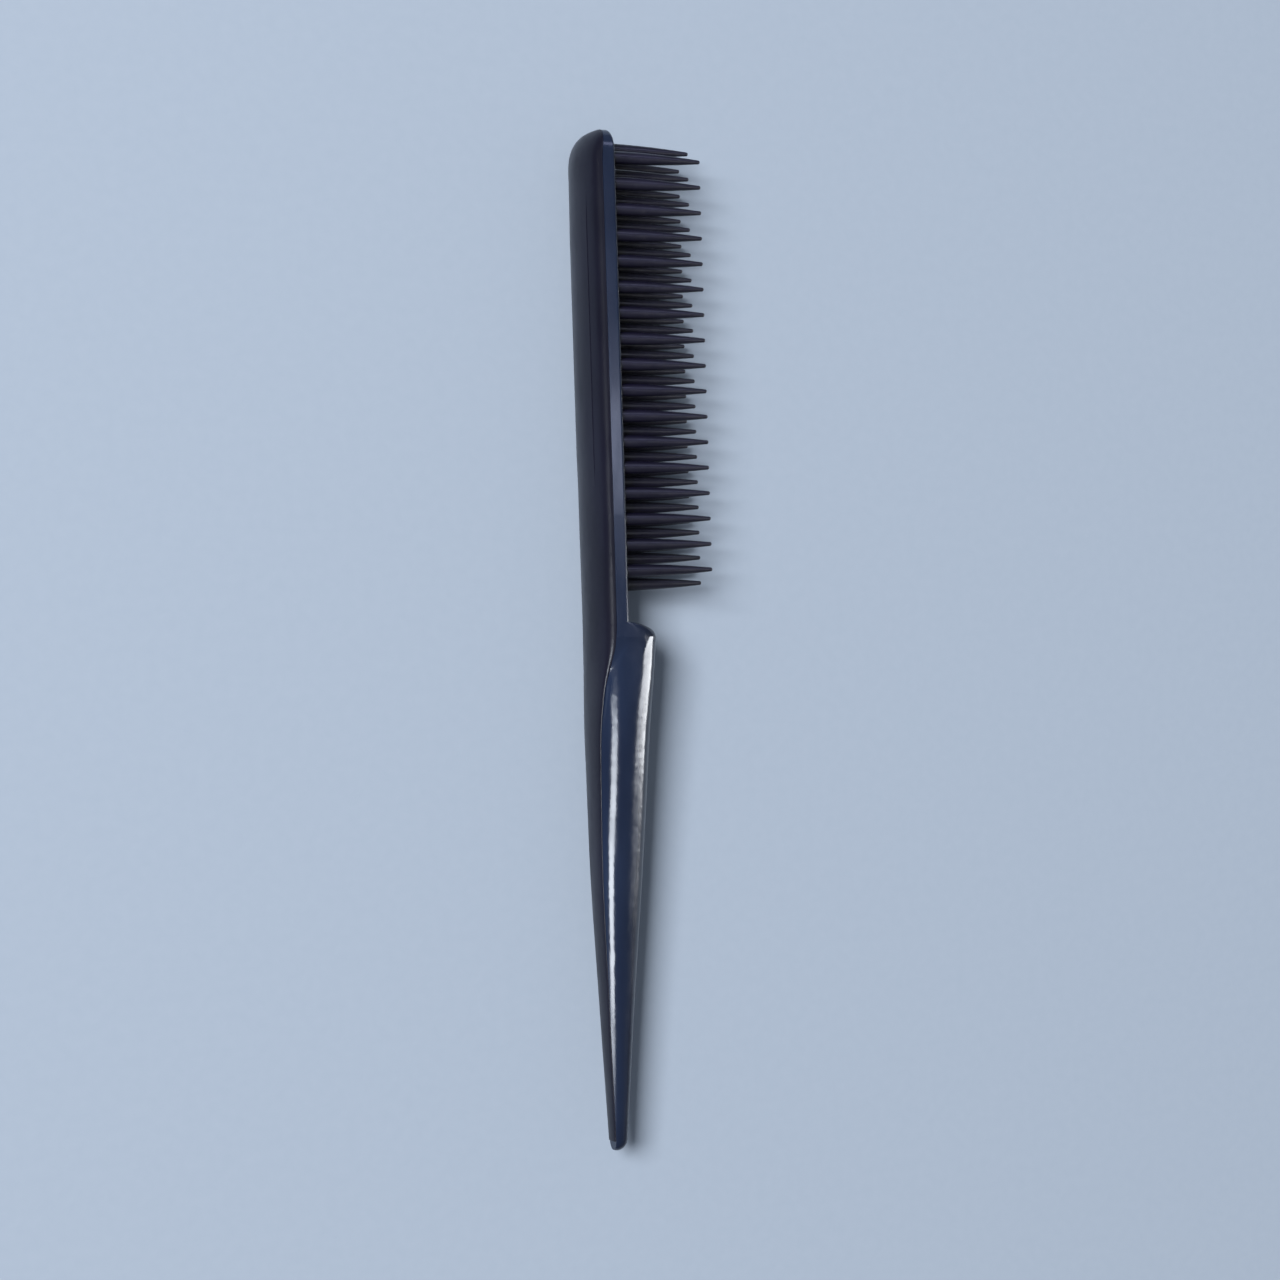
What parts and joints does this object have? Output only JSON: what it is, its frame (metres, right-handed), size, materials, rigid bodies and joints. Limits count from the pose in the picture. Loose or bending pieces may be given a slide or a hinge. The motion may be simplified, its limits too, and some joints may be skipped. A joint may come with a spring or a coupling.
{
  "type": "rat tail comb",
  "caption": "Moulded plastic back-combing comb with staggered rows of tapering teeth on a flat head, a rounded grip and a long tapering tail.",
  "frame": {"origin": "middle of the comb's length and depth, at the level of the side edge it lies on", "axes": "+Y from the tail tip to the domed head, +X the way the teeth point, +Z across the tooth rows; the comb lies on its side"},
  "size_m": [0.0288, 0.225, 0.016],
  "materials": {
    "front_plastic": "glossy moulded plastic, very dark blue",
    "cover_plastic": "slightly satin moulded plastic, blue-black",
    "tooth_plastic": "glossy moulded plastic, blue-black"
  },
  "bodies": {
    "root": {"front_body": "front_plastic", "back_cover": "cover_plastic", "near_tooth_rail": "tooth_plastic", "middle_tooth_rail": "tooth_plastic", "far_tooth_rail": "tooth_plastic"}
  },
  "joints": []
}
